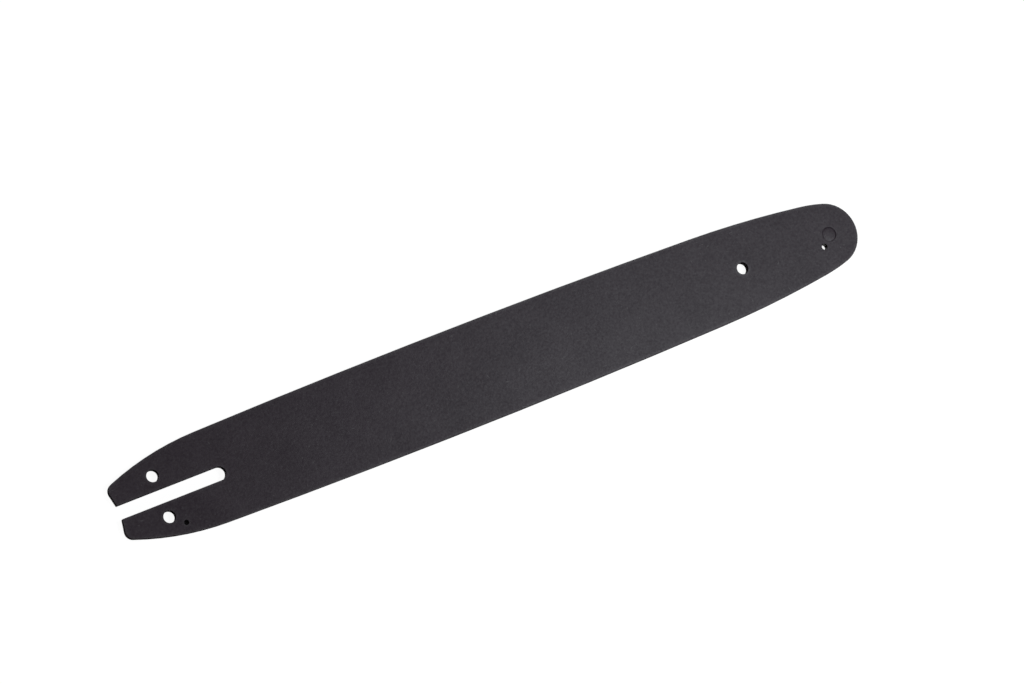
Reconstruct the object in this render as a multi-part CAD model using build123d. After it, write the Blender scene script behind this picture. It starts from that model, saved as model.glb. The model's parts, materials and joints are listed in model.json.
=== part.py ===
from build123d import *
from math import cos, radians, sin, sqrt, tan
import os

# A chainsaw guide bar lying flat. X runs from the tail (negative) to the nose, Y across the bar,
# Z up through its thickness. The origin is the middle of the bottom face. Sizes are millimetres.

# Overall sizes
LENGTH = 450.0
WIDTH = 54.6
PLATE_THICKNESS = 1.45
GROOVE_WIDTH = 1.3
GROOVE_DEPTH = 6.0
EDGE_CHAMFER = 0.3

# Outline of one edge: nose arc, throat and shoulder arcs, long belly arc, tail taper, prong end
NOSE_RADIUS = 18.1
NOSE_ARC_ANGLE = 73.3
THROAT_REACH = 6.75
SHOULDER_FROM_NOSE = 95.8
BELLY_RADIUS = 6000.0
WIDEST_FROM_TAIL = 210.0
TAPER_FROM_TAIL = 53.5
TAIL_CORNER_RADIUS = 4.6
TAIL_CORNER_OFFSET = 11.1
TAIL_CUT_ANGLE = 11.0

# Tail: slot for the saw's studs, tensioner holes inside the groove floor, oil holes across it
SLOT_WIDTH = 7.5
SLOT_LENGTH = 61.75
TENSION_HOLE_DIAMETER = 6.6
TENSION_HOLE_FROM_TAIL = 24.7
TENSION_HOLE_LAND = 0.85
OIL_HOLE_DIAMETER = 2.8
OIL_HOLE_FROM_TAIL = 31.8
OIL_HOLE_OVERHANG = 0.43

# Hanging hole on the centre line
HANG_HOLE_DIAMETER = 6.7
HANG_HOLE_FROM_NOSE = 73.3

# Nose sprocket and its roller bearing, a little ahead of the nose arc's centre
NOSE_AXIS_LEAD = 1.1
TOOTH_COUNT = 9
TOOTH_TIP_INSET = 0.4
TOOTH_DEPTH = 4.0
TOOTH_TIP_ROUNDING = 0.7
GULLET_RADIUS = 3.0
GULLET_FLANK_ANGLE = 28.0
RACE_RADIUS = 6.2
ROLLER_DIAMETER = 3.2
ROLLER_COUNT = 8
GREASE_HOLE_DIAMETER = 3.4
GREASE_HOLE_ANGLE = 225.0

# Nose rivet: its crowned heads fill a seat in each plate, a cone below a short straight wall
RIVET_DIAMETER = 5.6
RIVET_FLARE = 1.4
RIVET_CONE_DEPTH = 0.7
RIVET_WALL_DEPTH = 0.4
RIVET_RECESS = 0.03
RIVET_CROWN = 0.12
RIVET_EDGE_WIDTH = 0.9

# Clearances
RUNNING_CLEARANCE = 0.03
SIDE_CLEARANCE = 0.1
POCKET_CLEARANCE = 0.8

# Derived places and sizes
TAIL_X = -LENGTH / 2
NOSE_X = LENGTH / 2
NOSE_AXIS_X = NOSE_X - NOSE_RADIUS + NOSE_AXIS_LEAD
THICKNESS = 2 * PLATE_THICKNESS + GROOVE_WIDTH
SPROCKET_THICKNESS = GROOVE_WIDTH - 2 * SIDE_CLEARANCE
SPROCKET_Z = PLATE_THICKNESS + SIDE_CLEARANCE
TOOTH_TIP_RADIUS = NOSE_X - NOSE_AXIS_X - TOOTH_TIP_INSET
GULLET_CENTRE = TOOTH_TIP_RADIUS - TOOTH_DEPTH + GULLET_RADIUS
ROLLER_PITCH_RADIUS = RACE_RADIUS + RUNNING_CLEARANCE + ROLLER_DIAMETER / 2
SPROCKET_BORE_RADIUS = ROLLER_PITCH_RADIUS + ROLLER_DIAMETER / 2 + RUNNING_CLEARANCE


def belly_point(x):
    """Point of the belly arc at x, and the outward direction there."""
    centre = Vector(TAIL_X + WIDEST_FROM_TAIL, WIDTH / 2 - BELLY_RADIUS)
    rise = sqrt(BELLY_RADIUS**2 - (x - centre.X) ** 2)
    point = Vector(x, centre.Y + rise)
    return point, (point - centre).normalized()


def tail_corner():
    """Centre of the rounding at the outer corner of a prong."""
    return Vector(TAIL_X + TAIL_CORNER_RADIUS, TAIL_CORNER_OFFSET)


def tail_arc():
    """Centre and radius of the tail taper: it leaves the belly smoothly and wraps the tail corner."""
    start, outward = belly_point(TAIL_X + TAPER_FROM_TAIL)
    reach = start - tail_corner()
    slack = reach.dot(outward) - TAIL_CORNER_RADIUS
    radius = (reach.dot(reach) - TAIL_CORNER_RADIUS**2) / (2 * slack)
    return start - outward * radius, radius


def blend_joint(start, start_direction, end, end_direction, end_reach):
    """Where two tangent arcs meet on the way from start to end.

    end_reach is the tangent length of the second arc; that of the first follows from it.
    """
    end_corner = end - end_direction * end_reach
    gap = start - end_corner
    start_reach = (gap.dot(gap) - end_reach**2) / (2 * (end_reach - gap.dot(start_direction)))
    start_corner = start + start_direction * start_reach
    return start_corner + (end_corner - start_corner) * (start_reach / (start_reach + end_reach))


def rail_points():
    """Points where the arcs of the +Y rail meet, from the nose back to the tail taper."""
    nose_out = Vector(cos(radians(NOSE_ARC_ANGLE)), sin(radians(NOSE_ARC_ANGLE)))
    nose_end = Vector(NOSE_X - NOSE_RADIUS, 0) + nose_out * NOSE_RADIUS
    shoulder, shoulder_out = belly_point(NOSE_X - SHOULDER_FROM_NOSE)
    towards_nose = shoulder_out.rotate(Axis.Z, -90)
    round_nose = nose_out.rotate(Axis.Z, -90)
    throat = blend_joint(shoulder, towards_nose, nose_end, round_nose, THROAT_REACH)
    taper, _ = belly_point(TAIL_X + TAPER_FROM_TAIL)
    return [nose_end, throat, shoulder, taper]


def outline_face(points, foot):
    """Face inside tangent arcs from the nose tip through the points, a line to foot, and their mirror."""
    edges = []
    start = Vector(NOSE_X, 0)
    direction = Vector(0, 1)
    for end in points:
        edges.append(TangentArc(start, end, tangent=direction))
        start = end
        direction = edges[-1] % 1
    edges.append(Line(start, foot))
    half = Curve() + edges
    return make_face(half + mirror(half, about=Plane.XZ))


def outline():
    """Face inside the bar's outline, before slot and holes."""
    corner = tail_corner()
    arc_centre, _ = tail_arc()
    corner_start = corner + (corner - arc_centre).normalized() * TAIL_CORNER_RADIUS
    lean = radians(TAIL_CUT_ANGLE)
    corner_end = corner - Vector(cos(lean), sin(lean)) * TAIL_CORNER_RADIUS
    foot = Vector(corner_end.X + corner_end.Y * tan(lean), 0)
    return outline_face(rail_points() + [corner_start, corner_end], foot)


def groove_floor():
    """Face inside both rails, set in by the groove's depth and running out past the tail."""
    arc_centre, arc_radius = tail_arc()
    end_x = TAIL_X - 2 * GROOVE_DEPTH
    end_y = arc_centre.Y + sqrt(arc_radius**2 - (end_x - arc_centre.X) ** 2)
    rails = outline_face(rail_points() + [Vector(end_x, end_y)], Vector(end_x, 0))
    return offset(rails, -GROOVE_DEPTH)


def groove_floor_y(from_tail):
    """Distance of the groove floor from the centre line, at a place on the tail taper."""
    arc_centre, arc_radius = tail_arc()
    along = TAIL_X + from_tail - arc_centre.X
    return arc_centre.Y + sqrt((arc_radius - GROOVE_DEPTH) ** 2 - along**2)


def stud_slot():
    """Slot along the centre line, open at the tail and round at its inner end."""
    straight = SLOT_LENGTH - SLOT_WIDTH / 2
    run = Rectangle(straight, SLOT_WIDTH, align=(Align.MIN, Align.CENTER))
    return Pos(TAIL_X, 0) * (run + Pos(straight, 0) * Circle(SLOT_WIDTH / 2))


def through_holes():
    """Holes that every layer shares: two for the tensioner's pin and one to hang the bar by."""
    radius = TENSION_HOLE_DIAMETER / 2
    from_centre = groove_floor_y(TENSION_HOLE_FROM_TAIL) - TENSION_HOLE_LAND - radius
    tension = GridLocations(0, 2 * from_centre, 1, 2) * Circle(radius)
    hang = Pos(NOSE_X - HANG_HOLE_FROM_NOSE, 0) * Circle(HANG_HOLE_DIAMETER / 2)
    return Pos(TAIL_X + TENSION_HOLE_FROM_TAIL, 0) * (Sketch() + tension) + hang


def grease_hole():
    """Hole over the roller track of the nose bearing."""
    place = Pos(NOSE_AXIS_X, 0) * Rot(0, 0, GREASE_HOLE_ANGLE) * Pos(ROLLER_PITCH_RADIUS, 0)
    return place * Circle(GREASE_HOLE_DIAMETER / 2)


def oil_hole(side):
    """Hole that leads oil into the chain groove on one side of the centre line."""
    from_centre = groove_floor_y(OIL_HOLE_FROM_TAIL) + OIL_HOLE_OVERHANG
    return Pos(TAIL_X + OIL_HOLE_FROM_TAIL, side * from_centre) * Circle(OIL_HOLE_DIAMETER / 2)


def rivet_seat():
    """Hole for the rivet in a plate whose outer face is up: shank, cone and straight wall."""
    shank = RIVET_DIAMETER / 2
    head = shank + RIVET_FLARE
    wall_foot = PLATE_THICKNESS - RIVET_WALL_DEPTH
    cone_foot = wall_foot - RIVET_CONE_DEPTH
    section = Polyline(
        (0, 0),
        (shank, 0),
        (shank, cone_foot),
        (head, wall_foot),
        (head, PLATE_THICKNESS),
        (0, PLATE_THICKNESS),
        close=True,
    )
    return Pos(NOSE_AXIS_X, 0) * revolve(make_face(Plane.XZ * section), Axis.Z)


def outer_plate(oil_side):
    """One side plate with its inner face at zero height and its outer face up."""
    profile = outline() - stud_slot() - through_holes() - grease_hole() - oil_hole(oil_side)
    plate = extrude(profile, PLATE_THICKNESS)
    rim = plate.faces().sort_by(Axis.Z)[-1].outer_wire().edges()
    rails = rim.filter_by(lambda edge: abs(edge.center().Y) > SLOT_WIDTH / 2 + EDGE_CHAMFER)
    return chamfer(rails, EDGE_CHAMFER) - rivet_seat()


def core_plate():
    """Middle layer, set back from the rails by the groove and cut away round the sprocket."""
    profile = (groove_floor() & outline()) - stud_slot() - through_holes()
    for side in (-1, 1):
        profile -= oil_hole(side)
    profile -= Pos(NOSE_AXIS_X, 0) * Circle(TOOTH_TIP_RADIUS + POCKET_CLEARANCE)
    return extrude(profile, GROOVE_WIDTH)


def gullet():
    """Gap between two teeth, pointing along X from the sprocket's axis and open outwards."""
    flank = radians(GULLET_FLANK_ANGLE)
    root_x = GULLET_CENTRE - GULLET_RADIUS * sin(flank)
    root_y = GULLET_RADIUS * cos(flank)
    mouth_x = root_x + TOOTH_TIP_RADIUS * cos(flank)
    mouth_y = root_y + TOOTH_TIP_RADIUS * sin(flank)
    mouth = Polygon(
        (root_x, root_y), (root_x, -root_y), (mouth_x, -mouth_y), (mouth_x, mouth_y), align=None
    )
    return mouth + Pos(GULLET_CENTRE, 0) * Circle(GULLET_RADIUS)


def nose_sprocket():
    """Toothed ring that turns on the rollers and lifts the chain round the nose."""
    gullets = PolarLocations(0, TOOTH_COUNT) * gullet()
    profile = Circle(TOOTH_TIP_RADIUS) - gullets
    tip_zone = TOOTH_TIP_RADIUS - TOOTH_TIP_ROUNDING
    tips = profile.vertices().filter_by(lambda v: Vector(v).length > tip_zone)
    profile = fillet(tips, TOOTH_TIP_ROUNDING) - Circle(SPROCKET_BORE_RADIUS)
    return Pos(NOSE_AXIS_X, 0, SPROCKET_Z) * extrude(profile, SPROCKET_THICKNESS)


def bearing_race():
    """Inner ring of the bearing, clamped between the plates by the rivet."""
    ring = Circle(RACE_RADIUS) - Circle(RIVET_DIAMETER / 2)
    return Pos(NOSE_AXIS_X, 0, PLATE_THICKNESS) * extrude(ring, GROOVE_WIDTH)


def roller(index):
    """One bearing roller. The grease hole looks between two of them."""
    turn = GREASE_HOLE_ANGLE + (index + 0.5) * 360 / ROLLER_COUNT
    place = Pos(NOSE_AXIS_X, 0, SPROCKET_Z) * Rot(0, 0, turn) * Pos(ROLLER_PITCH_RADIUS, 0)
    return place * extrude(Circle(ROLLER_DIAMETER / 2), SPROCKET_THICKNESS)


def nose_rivet():
    """Rivet through the race. Each head is crowned, and rounds down to the foot of its seat's wall."""
    shank = RIVET_DIAMETER / 2
    head = shank + RIVET_FLARE
    middle = THICKNESS / 2
    top = (0, RIVET_RECESS)
    brow = (head - RIVET_EDGE_WIDTH, RIVET_RECESS + RIVET_CROWN)
    edge = (head, RIVET_WALL_DEPTH)
    crown = TangentArc(top, brow, tangent=(1, 0))
    rounding = TangentArc(brow, edge, tangent=crown % 1)
    shaft = Polyline(edge, (shank, RIVET_WALL_DEPTH + RIVET_CONE_DEPTH), (shank, middle), (0, middle), top)
    lower = revolve(make_face(Plane.XZ * (Curve() + [crown, rounding, shaft])), Axis.Z)
    return Pos(NOSE_AXIS_X, 0) * (lower + mirror(lower, about=Plane.XY.offset(middle)))


def build():
    """Every piece of the bar under its node name."""
    pieces = {
        "top_plate": Pos(0, 0, PLATE_THICKNESS + GROOVE_WIDTH) * outer_plate(-1),
        "core_plate": Pos(0, 0, PLATE_THICKNESS) * core_plate(),
        "bottom_plate": Pos(0, 0, PLATE_THICKNESS) * mirror(outer_plate(1), about=Plane.XY),
        "nose_sprocket": nose_sprocket(),
        "bearing_race": bearing_race(),
        "nose_rivet": nose_rivet(),
    }
    for index in range(ROLLER_COUNT):
        pieces[f"roller_{index + 1:02d}"] = roller(index)
    return pieces


os.makedirs("parts", exist_ok=True)
for node, shape in build().items():
    export_step(shape, f"parts/{node}.step")
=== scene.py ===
import json
import math

import bpy
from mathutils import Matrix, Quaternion, Vector

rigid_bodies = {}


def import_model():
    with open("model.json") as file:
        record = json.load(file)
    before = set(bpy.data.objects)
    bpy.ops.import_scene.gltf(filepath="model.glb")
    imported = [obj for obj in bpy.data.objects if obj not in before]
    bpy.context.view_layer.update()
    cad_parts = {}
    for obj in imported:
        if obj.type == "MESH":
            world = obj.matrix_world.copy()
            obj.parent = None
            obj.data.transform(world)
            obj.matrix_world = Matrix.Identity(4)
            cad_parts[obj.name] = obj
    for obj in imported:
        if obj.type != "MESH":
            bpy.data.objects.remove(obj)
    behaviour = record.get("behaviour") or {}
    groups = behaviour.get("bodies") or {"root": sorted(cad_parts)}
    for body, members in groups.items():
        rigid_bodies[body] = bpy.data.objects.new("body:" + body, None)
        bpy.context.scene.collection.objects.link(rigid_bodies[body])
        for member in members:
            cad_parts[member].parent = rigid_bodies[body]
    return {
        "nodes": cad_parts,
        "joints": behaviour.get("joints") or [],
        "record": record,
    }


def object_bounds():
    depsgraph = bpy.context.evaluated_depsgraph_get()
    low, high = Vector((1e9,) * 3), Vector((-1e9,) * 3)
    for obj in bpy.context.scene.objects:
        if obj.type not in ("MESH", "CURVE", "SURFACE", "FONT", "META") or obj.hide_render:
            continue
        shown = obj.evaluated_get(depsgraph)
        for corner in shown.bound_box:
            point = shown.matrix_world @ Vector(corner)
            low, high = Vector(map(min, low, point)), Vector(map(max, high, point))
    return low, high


for leftover in list(bpy.data.objects):
    bpy.data.objects.remove(leftover)
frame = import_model()
cad_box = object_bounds()

# Read from the frame: height of the top face in metres, and middle of the nose bearing in millimetres
MM_PER_M = 1000.0
TOP_Z = cad_box[1][2]
NOSE_AXIS = MM_PER_M * Vector(frame["joints"][0]["pos_m"])

# The camera of the photograph: degrees, metres, and a lens for a 36 mm wide sensor
CAMERA_AZIMUTH = -73.6252
CAMERA_ELEVATION = 69.4103
CAMERA_ROLL = 51.2518
CAMERA_TARGET = Vector((0.0105007, 0.0083915, TOP_Z))
CAMERA_DISTANCE = 1.89214
CAMERA_LENS = 123.68
SENSOR_WIDTH = 36.0
CLIP_START = 0.01
CLIP_END = 50.0

# Light levels are what a white sheet facing the light would show
WORLD_LEVEL = 0.25
KEY_LEVEL = 0.30
FILL_LEVEL = 0.13
SHEEN_LEVEL = 0.44

# Lamps, in metres: the camera sees the sheen lamp mirrored in the top face's plane, at the sheen's centre
LAMP_TARGET = Vector((0.0, 0.0, 0.0))
KEY_PLACE = Vector((0.3, -1.6, 1.2))
FILL_PLACE = Vector((-0.6, 1.5, 1.2))
SOFT_LAMP_SIZE = 1.2
SHEEN_CENTRE = Vector((0.095, -0.150, TOP_Z))
SHEEN_DISTANCE = 1.0
SHEEN_SIZE = 0.30
SHEEN_COLOUR = (0.94, 1.0, 1.03)

# The floor, in metres, and its colours: its glow and its shaded part add up to white outside the shadow
FLOOR_HALF = 8.0
BACKDROP_HEIGHT = 1.5
FLOOR_DROP = 0.0002
FLOOR_PALE = (0.85, 0.85, 0.85, 1.0)
FLOOR_SHADED = (0.15, 0.15, 0.15, 1.0)
FLOOR_GLOW = 0.93
WHITE = (1.0, 1.0, 1.0, 1.0)

# Finishes: colours are linear red, green and blue, pattern sizes are millimetres, and reliefs are metres.
# Shared ranges: from nothing to all, from all to nothing, and where most of a noise lies
RISING = (0.0, 1.0)
FALLING = (1.0, 0.0)
NOISE_BULK = (0.3, 0.7)

# Charcoal coat: mottling and grain, pale specks and dark pits, and a satin gloss over a matt ground
COAT_DARK = (0.0145, 0.0083, 0.0138)
COAT_LIGHT = (0.0301, 0.0225, 0.0293)
MOTTLE_SIZE = 24.0
MOTTLE_SHARE = (-0.25, 0.25)
GRAIN_SIZE = 1.2
GRAIN_RANGE = (0.25, 0.75)
GRAIN_SHARE = (0.28, 0.72)
SPOT_SIZE = 1.7
SPECK_COLOUR = (0.075, 0.072, 0.075)
SPECK_RANGE = (0.74, 0.82)
SPECK_STRENGTH = (0.0, 0.35)
PIT_COLOUR = (0.006, 0.005, 0.006)
PIT_RANGE = (0.18, 0.26)
PIT_STRENGTH = (0.45, 0.0)
# Walls: a darker, nearly black copy of the coat colour, as painted shade
SHADED_WALL_DARK = (0.0050, 0.0042, 0.0048)
SHADED_WALL_LIGHT = (0.0120, 0.0100, 0.0110)
GROUND_ROUGHNESS = (0.75, 0.95)
GLOSS_WEIGHT = (0.33, 0.57)
GLOSS_ROUGHNESS = 0.41
COAT_RELIEF = 0.00005

# Nicks in the coat: short scratches in patches, at these angles to the bar's length in degrees
NICK_ANGLES = (12.0, 75.0, -40.0)
NICK_COLOUR = (0.105, 0.104, 0.106)
NICK_WIDTH = 0.9
NICK_STRETCH = (4.0, 1.0, 1.0)
NICK_RANGE = (0.71, 0.79)
NICK_PATCH_SIZE = 22.0
NICK_PATCH_RANGE = (0.52, 0.64)
NICK_STRENGTH = (0.0, 0.30)

# Faces, edges and walls: flatness is 1 on a face and 0 on a wall, and chamfers lie between. Chamfers are
# lightened, partly as worn coat and partly as a painted highlight
FACE_FLATNESS = (0.15, 0.35)
CHAMFER_FLATNESS_FROM = (0.3, 0.5)
CHAMFER_FLATNESS_TO = (0.8, 0.95)
PLATE_WEAR_AND_HIGHLIGHT_COLOUR = (0.040, 0.037, 0.040)
# The rivet's lighter chamfer colour is mostly a painted highlight round its rim, with some wear
RIVET_WEAR_AND_HIGHLIGHT_COLOUR = (0.085, 0.080, 0.082)
WEAR_AND_HIGHLIGHT_SIZE = 3.0
WEAR_AND_HIGHLIGHT_RANGE = (0.35, 0.7)
WEAR_AND_HIGHLIGHT_STRENGTH = (0.1, 0.6)

# Glossier rails: reach of the band in metres, and the distance from the nose axis where it fades out
RAIL_REACH = 0.0026
RAIL_SAMPLES = 4
RAIL_AGREEMENT = (0.93, 1.0)
RAIL_GAIN = (0.8, 0.0)
RAIL_FADE = (12.0, 14.5)

# Core steel: lines drawn along the bar, and patches of oil
CORE_DARK = (0.0040, 0.0036, 0.0038)
CORE_LIGHT = (0.0120, 0.0110, 0.0112)
CORE_LINE_WIDTH = 0.22
CORE_LINE_STRETCH = (60.0, 1.0, 1.0)
CORE_ROUGHNESS = (0.95, 0.70)
CORE_SPECULAR = 0.02
CORE_RELIEF = 0.00002
OIL_COLOUR = (0.0050, 0.0040, 0.0032)
OIL_SIZE = 9.0
OIL_RANGE = (0.4, 0.65)
OIL_STRENGTH = 0.5

# Sprocket steel: ground lines, and a temper tint that sets in between two radii
SPROCKET_PLAIN = (0.34, 0.335, 0.33)
SPROCKET_TEMPERED = (0.27, 0.215, 0.155)
TEMPER_RADII = (10.5, 16.6)
TEMPER_WANDER = (-1.2, 1.2)
TEMPER_WANDER_SIZE = 4.0
GRIND_COLOUR = (0.12, 0.11, 0.10)
GRIND_WIDTH = 0.16
GRIND_STRETCH = (14.0, 1.0, 1.0)
GRIND_RANGE = (0.35, 0.7)
GRIND_STRENGTH = (0.0, 0.45)
SPROCKET_ROUGHNESS = (0.26, 0.44)
SPROCKET_RELIEF = 0.00001

# Bearing steel: fine rings, and the grease that covers most of it
BEARING_DARK = (0.40, 0.40, 0.41)
BEARING_LIGHT = (0.56, 0.56, 0.56)
RINGS_PER_MM = 7.0
RING_RELIEF = 0.00001
GREASE_COLOUR = (0.012, 0.0085, 0.005)
GREASE_SIZE = 2.2
GREASE_RANGE = (0.30, 0.50)
GREASE_COVER = (0.55, 1.0)
GREASE_ROUGHNESS = (0.30, 0.50)
GREASE_SPECULAR = 0.30


def set_inputs(tree, node, values):
    """Sets each named input of a node to its value, or links it to its socket."""
    for key, value in values.items():
        if isinstance(value, bpy.types.NodeSocket):
            tree.links.new(value, node.inputs[key])
        else:
            node.inputs[key].default_value = value


def add(tree, kind, inputs=None, **settings):
    """A new node with its settings, and its inputs set or linked."""
    node = tree.nodes.new(kind)
    for key, value in settings.items():
        setattr(node, key, value)
    set_inputs(tree, node, inputs or {})
    return node


def vector_math(tree, operation, first, second=(0.0, 0.0, 0.0), output="Vector"):
    """One vector math node's result."""
    return add(tree, "ShaderNodeVectorMath", {0: first, 1: second}, operation=operation).outputs[output]


def combine(tree, operation, first, second=0.0):
    """One math node's result."""
    return add(tree, "ShaderNodeMath", {0: first, 1: second}, operation=operation).outputs[0]


def noise(tree, place, size, detail=2.0, rough=0.5, stretch=(1.0, 1.0, 1.0)):
    """Noise from 0 to 1 whose blotches are about size millimetres wide."""
    scaled = vector_math(tree, "MULTIPLY", place, [1 / (size * s) for s in stretch])
    values = {"Vector": scaled, "Scale": 1.0, "Detail": detail, "Roughness": rough}
    return add(tree, "ShaderNodeTexNoise", values).outputs[0]


def span(tree, value, source, result):
    """Value carried from the source range to the result range, held at the ends."""
    limits = {"From Min": source[0], "From Max": source[1], "To Min": result[0], "To Max": result[1]}
    return add(tree, "ShaderNodeMapRange", {"Value": value, **limits}).outputs[0]


def tint(tree, factor, low, high):
    """Colour between low at factor 0 and high at factor 1."""
    low, high = (c if isinstance(c, bpy.types.NodeSocket) else (*c, 1.0) for c in (low, high))
    return add(tree, "ShaderNodeMix", {0: factor, 6: low, 7: high}, data_type="RGBA").outputs[2]


def relief(tree, height, depth, strength):
    """Normal of a bumped surface whose hills of height 1 stand depth metres high."""
    values = {"Height": height, "Distance": depth, "Strength": strength}
    return add(tree, "ShaderNodeBump", values).outputs[0]


def empty_material(name):
    """A material with nothing in its node tree, and that tree."""
    material = bpy.data.materials.new(name)
    material.use_nodes = True
    material.node_tree.nodes.clear()
    return material, material.node_tree


def new_finish(name):
    """A material, its node tree, its surface shader and the object's coordinates in millimetres."""
    material, tree = empty_material(name)
    shader = add(tree, "ShaderNodeBsdfPrincipled")
    add(tree, "ShaderNodeOutputMaterial", {"Surface": shader.outputs["BSDF"]})
    metres = add(tree, "ShaderNodeTexCoord").outputs["Object"]
    place = vector_math(tree, "MULTIPLY", metres, (MM_PER_M, MM_PER_M, MM_PER_M))
    return material, tree, shader, place


def from_axis(tree, place):
    """Distance from the nose bearing's axis, in millimetres."""
    offset = vector_math(tree, "SUBTRACT", place, NOSE_AXIS)
    flat = vector_math(tree, "MULTIPLY", offset, (1.0, 1.0, 0.0))
    return vector_math(tree, "LENGTH", flat, output="Value")


def rail_gloss(tree, place, normal):
    """Factor above 1 in a soft band along the rails, which chain and handling have rubbed smoother."""
    rounded = add(tree, "ShaderNodeBevel", {"Radius": RAIL_REACH}, samples=RAIL_SAMPLES).outputs[0]
    agreement = vector_math(tree, "DOT_PRODUCT", rounded, normal, "Value")
    band = span(tree, agreement, RAIL_AGREEMENT, RAIL_GAIN)
    clear_of_rivet = span(tree, from_axis(tree, place), RAIL_FADE, RISING)
    return combine(tree, "ADD", 1.0, combine(tree, "MULTIPLY", band, clear_of_rivet))


def nicks(tree, place, angle):
    """Sparse short scratches that lie at an angle to the bar, gathered in patches."""
    values = {"Vector": place, "Angle": math.radians(angle)}
    turned = add(tree, "ShaderNodeVectorRotate", values, rotation_type="Z_AXIS").outputs[0]
    streaks = noise(tree, turned, NICK_WIDTH, detail=1.0, stretch=NICK_STRETCH)
    lines = span(tree, streaks, NICK_RANGE, RISING)
    patches = span(tree, noise(tree, turned, NICK_PATCH_SIZE, detail=1.0), NICK_PATCH_RANGE, NICK_STRENGTH)
    return combine(tree, "MULTIPLY", lines, patches)


def coat_colour(tree, place, grain):
    """Charcoal with soft mottling, fine grain, pale specks, dark pits and nicks."""
    mottle = noise(tree, place, MOTTLE_SIZE, detail=3.0, rough=0.55)
    mottle_share = span(tree, mottle, NOISE_BULK, MOTTLE_SHARE)
    grain_share = span(tree, grain, NOISE_BULK, GRAIN_SHARE)
    colour = tint(tree, combine(tree, "ADD", mottle_share, grain_share), COAT_DARK, COAT_LIGHT)
    spots = noise(tree, place, SPOT_SIZE, detail=1.0)
    colour = tint(tree, span(tree, spots, SPECK_RANGE, SPECK_STRENGTH), colour, SPECK_COLOUR)
    colour = tint(tree, span(tree, spots, PIT_RANGE, PIT_STRENGTH), colour, PIT_COLOUR)
    for angle in NICK_ANGLES:
        colour = tint(tree, nicks(tree, place, angle), colour, NICK_COLOUR)
    return colour


def chamfer_wear_and_highlight(tree, place, flatness):
    """How far the chamfers, which lean between face and wall, are lightened: partly worn coat, partly a
    painted highlight.
    """
    off_wall = span(tree, flatness, CHAMFER_FLATNESS_FROM, RISING)
    off_face = span(tree, flatness, CHAMFER_FLATNESS_TO, FALLING)
    wear_and_highlight = span(tree, noise(tree, place, WEAR_AND_HIGHLIGHT_SIZE, detail=3.0, rough=0.7), WEAR_AND_HIGHLIGHT_RANGE, WEAR_AND_HIGHLIGHT_STRENGTH)
    return combine(tree, "MULTIPLY", combine(tree, "MULTIPLY", off_wall, off_face), wear_and_highlight)


def charcoal_coat(name, wear_and_highlight_colour):
    """Satin charcoal coating, glossier along the rails, and lighter on the chamfers, partly from wear and
    partly as a painted highlight.

    Steep walls, which the coating reaches less, stay matt; their darker, nearly black colour is painted
    shade.
    """
    material, tree, shader, place = new_finish(name)
    grain = noise(tree, place, GRAIN_SIZE, detail=3.0, rough=0.6)
    normal = add(tree, "ShaderNodeNewGeometry").outputs["Normal"]
    upright = add(tree, "ShaderNodeSeparateXYZ", {0: normal}).outputs["Z"]
    flatness = combine(tree, "ABSOLUTE", upright)
    face = span(tree, flatness, FACE_FLATNESS, RISING)
    colour = coat_colour(tree, place, grain)
    # Lighter chamfers: partly worn coat, partly a painted highlight
    colour = tint(tree, chamfer_wear_and_highlight(tree, place, flatness), colour, wear_and_highlight_colour)
    # Walls get a darker colour than the faces: painted shade
    painted_shade_wall_colour = tint(tree, grain, SHADED_WALL_DARK, SHADED_WALL_LIGHT)
    satin = combine(tree, "MULTIPLY", face, span(tree, grain, GRAIN_RANGE, GLOSS_WEIGHT))
    bumped = relief(tree, noise(tree, place, GRAIN_SIZE), COAT_RELIEF, strength=1.0)
    set_inputs(tree, shader, {
        "Base Color": tint(tree, face, painted_shade_wall_colour, colour),
        "Roughness": span(tree, grain, GRAIN_RANGE, GROUND_ROUGHNESS),
        "Specular IOR Level": 0.0,
        "Coat Weight": combine(tree, "MULTIPLY", satin, rail_gloss(tree, place, normal)),
        "Coat Roughness": GLOSS_ROUGHNESS,
        "Normal": bumped,
        "Coat Normal": bumped,
    })
    return material


def core_steel():
    """Blackened steel of the middle layer, drawn along the bar, with patches of oil."""
    material, tree, shader, place = new_finish("core_steel_blackened")
    drawn = noise(tree, place, CORE_LINE_WIDTH, detail=3.0, rough=0.6, stretch=CORE_LINE_STRETCH)
    oil = span(tree, noise(tree, place, OIL_SIZE, detail=3.0, rough=0.6), OIL_RANGE, RISING)
    colour = tint(tree, span(tree, drawn, NOISE_BULK, RISING), CORE_DARK, CORE_LIGHT)
    set_inputs(tree, shader, {
        "Base Color": tint(tree, combine(tree, "MULTIPLY", oil, OIL_STRENGTH), colour, OIL_COLOUR),
        "Roughness": span(tree, oil, RISING, CORE_ROUGHNESS),
        "Specular IOR Level": CORE_SPECULAR,
        "Normal": relief(tree, drawn, CORE_RELIEF, strength=0.3),
    })
    return material


def sprocket_steel():
    """Hardened sprocket steel: ground lines, and a temper tint that turns brown towards the teeth."""
    material, tree, shader, place = new_finish("sprocket_steel_tempered")
    wander = span(tree, noise(tree, place, TEMPER_WANDER_SIZE), NOISE_BULK, TEMPER_WANDER)
    heat = span(tree, combine(tree, "ADD", from_axis(tree, place), wander), TEMPER_RADII, RISING)
    colour = tint(tree, heat, SPROCKET_PLAIN, SPROCKET_TEMPERED)
    grind = noise(tree, place, GRIND_WIDTH, detail=3.0, rough=0.65, stretch=GRIND_STRETCH)
    set_inputs(tree, shader, {
        "Base Color": tint(tree, span(tree, grind, GRIND_RANGE, GRIND_STRENGTH), colour, GRIND_COLOUR),
        "Roughness": span(tree, grind, NOISE_BULK, SPROCKET_ROUGHNESS),
        "Metallic": 1.0,
        "Normal": relief(tree, grind, SPROCKET_RELIEF, strength=0.3),
    })
    return material


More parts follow.
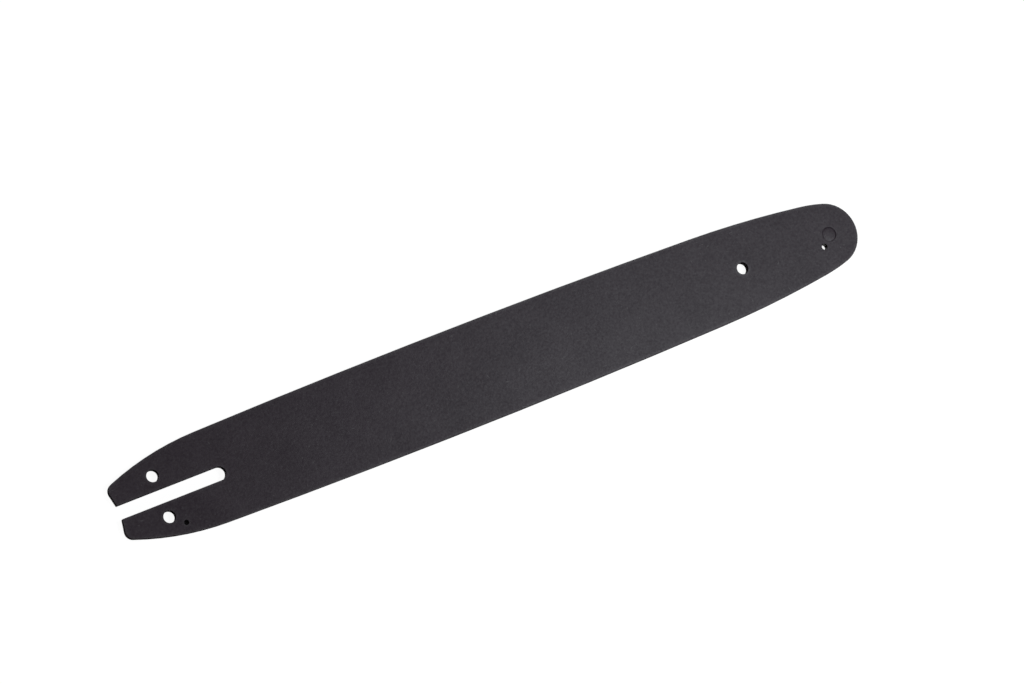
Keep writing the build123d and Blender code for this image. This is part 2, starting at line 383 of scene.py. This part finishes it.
def bearing_steel():
    """Ground bearing steel with fine rings round the axis, nearly covered by dark grease."""
    material, tree, shader, place = new_finish("bearing_steel_greased")
    values = {"W": from_axis(tree, place), "Scale": RINGS_PER_MM, "Detail": 3.0}
    rings = add(tree, "ShaderNodeTexNoise", values, noise_dimensions="1D").outputs[0]
    colour = tint(tree, span(tree, rings, NOISE_BULK, RISING), BEARING_DARK, BEARING_LIGHT)
    grease = span(tree, noise(tree, place, GREASE_SIZE, detail=3.0, rough=0.6), GREASE_RANGE, GREASE_COVER)
    set_inputs(tree, shader, {
        "Base Color": tint(tree, grease, colour, GREASE_COLOUR),
        "Roughness": span(tree, grease, GREASE_COVER, GREASE_ROUGHNESS),
        "Metallic": span(tree, grease, GREASE_COVER, FALLING),
        "Specular IOR Level": GREASE_SPECULAR,
        "Normal": relief(tree, rings, RING_RELIEF, strength=0.2),
    })
    return material


def dress_nodes():
    """Gives each CAD node the finish of its material slot."""
    finishes = {
        "plate_paint": charcoal_coat("plate_charcoal_coat", PLATE_WEAR_AND_HIGHLIGHT_COLOUR),
        "rivet_paint": charcoal_coat("rivet_charcoal_coat", RIVET_WEAR_AND_HIGHLIGHT_COLOUR),
        "core_steel": core_steel(),
        "sprocket_steel": sprocket_steel(),
        "bearing_steel": bearing_steel(),
    }
    for part in frame["record"]["subparts"]:
        node = frame["nodes"][part["node"]]
        for slot in node.material_slots:
            slot.material = finishes[part["material_slot"]]


def floor_paint():
    """White to the eye and in gloss, pale to all other light, and still shaded by the bar."""
    material, tree = empty_material("floor_white")
    path = add(tree, "ShaderNodeLightPath").outputs
    seen = combine(tree, "MAXIMUM", path["Is Camera Ray"], path["Is Glossy Ray"])
    seen = combine(tree, "MAXIMUM", seen, path["Is Transmission Ray"])
    plain = add(tree, "ShaderNodeBsdfDiffuse", {"Color": FLOOR_PALE})
    shaded = add(tree, "ShaderNodeBsdfDiffuse", {"Color": FLOOR_SHADED})
    glow = add(tree, "ShaderNodeEmission", {"Color": WHITE, "Strength": FLOOR_GLOW})
    shown = add(tree, "ShaderNodeAddShader", {0: shaded.outputs[0], 1: glow.outputs[0]})
    mixed = add(tree, "ShaderNodeMixShader", {0: seen, 1: plain.outputs[0], 2: shown.outputs[0]})
    add(tree, "ShaderNodeOutputMaterial", {"Surface": mixed.outputs[0]})
    return material


def white_floor():
    """Large square floor just under the bar, with a low wall round it as the backdrop of low views."""
    mesh = bpy.data.meshes.new("floor")
    square = [(x * FLOOR_HALF, y * FLOOR_HALF) for x, y in ((-1, -1), (1, -1), (1, 1), (-1, 1))]
    corners = [(x, y, z) for z in (0.0, BACKDROP_HEIGHT) for x, y in square]
    walls = [(k, (k + 1) % 4, (k + 1) % 4 + 4, k + 4) for k in range(4)]
    mesh.from_pydata(corners, [], [(0, 1, 2, 3), *walls])
    mesh.materials.append(floor_paint())
    floor = bpy.data.objects.new("floor", mesh)
    floor.location.z = -FLOOR_DROP
    bpy.context.scene.collection.objects.link(floor)


def area_lamp(name, place, target, size, level, colour=(1.0, 1.0, 1.0)):
    """Soft square lamp that lights a white sheet facing it at the target to the given level."""
    data = bpy.data.lights.new(name, "AREA")
    data.shape = "SQUARE"
    data.size = size
    data.color = colour
    data.energy = level * math.pi**2 * (place - target).length_squared
    lamp = bpy.data.objects.new(name, data)
    lamp.location = place
    lamp.rotation_mode = "QUATERNION"
    lamp.rotation_quaternion = (target - place).to_track_quat("-Z", "Y")
    bpy.context.scene.collection.objects.link(lamp)


def photo_camera():
    """Camera at the photograph's viewing angle."""
    azimuth, elevation = math.radians(CAMERA_AZIMUTH), math.radians(CAMERA_ELEVATION)
    back = Vector((
        math.sin(azimuth) * math.cos(elevation),
        -math.cos(azimuth) * math.cos(elevation),
        math.sin(elevation),
    ))
    data = bpy.data.cameras.new("photo_camera")
    data.lens = CAMERA_LENS
    data.sensor_width = SENSOR_WIDTH
    data.clip_start = CLIP_START
    data.clip_end = CLIP_END
    camera = bpy.data.objects.new("photo_camera", data)
    camera.location = CAMERA_TARGET + back * CAMERA_DISTANCE
    camera.rotation_mode = "QUATERNION"
    roll = Quaternion((0, 0, 1), math.radians(CAMERA_ROLL))
    camera.rotation_quaternion = (-back).to_track_quat("-Z", "Y") @ roll
    bpy.context.scene.collection.objects.link(camera)
    bpy.context.scene.camera = camera
    return camera


def studio_light(camera):
    """Even white surroundings, a soft key from the near side, a weak fill from the far one, and the sheen.

    The sheen lamp stands where the top face mirrors it to the camera.
    """
    world = bpy.data.worlds.new("studio")
    world.use_nodes = True
    background = world.node_tree.nodes["Background"]
    set_inputs(world.node_tree, background, {"Color": WHITE, "Strength": WORLD_LEVEL})
    bpy.context.scene.world = world
    area_lamp("key", KEY_PLACE, LAMP_TARGET, SOFT_LAMP_SIZE, KEY_LEVEL)
    area_lamp("fill", FILL_PLACE, LAMP_TARGET, SOFT_LAMP_SIZE, FILL_LEVEL)
    view = (camera.location - SHEEN_CENTRE).normalized()
    mirrored = Vector((-view.x, -view.y, view.z))
    sheen_place = SHEEN_CENTRE + mirrored * SHEEN_DISTANCE
    area_lamp("sheen", sheen_place, SHEEN_CENTRE, SHEEN_SIZE, SHEEN_LEVEL, SHEEN_COLOUR)


bpy.context.scene.view_settings.view_transform = "Standard"
dress_nodes()
white_floor()
studio_light(photo_camera())
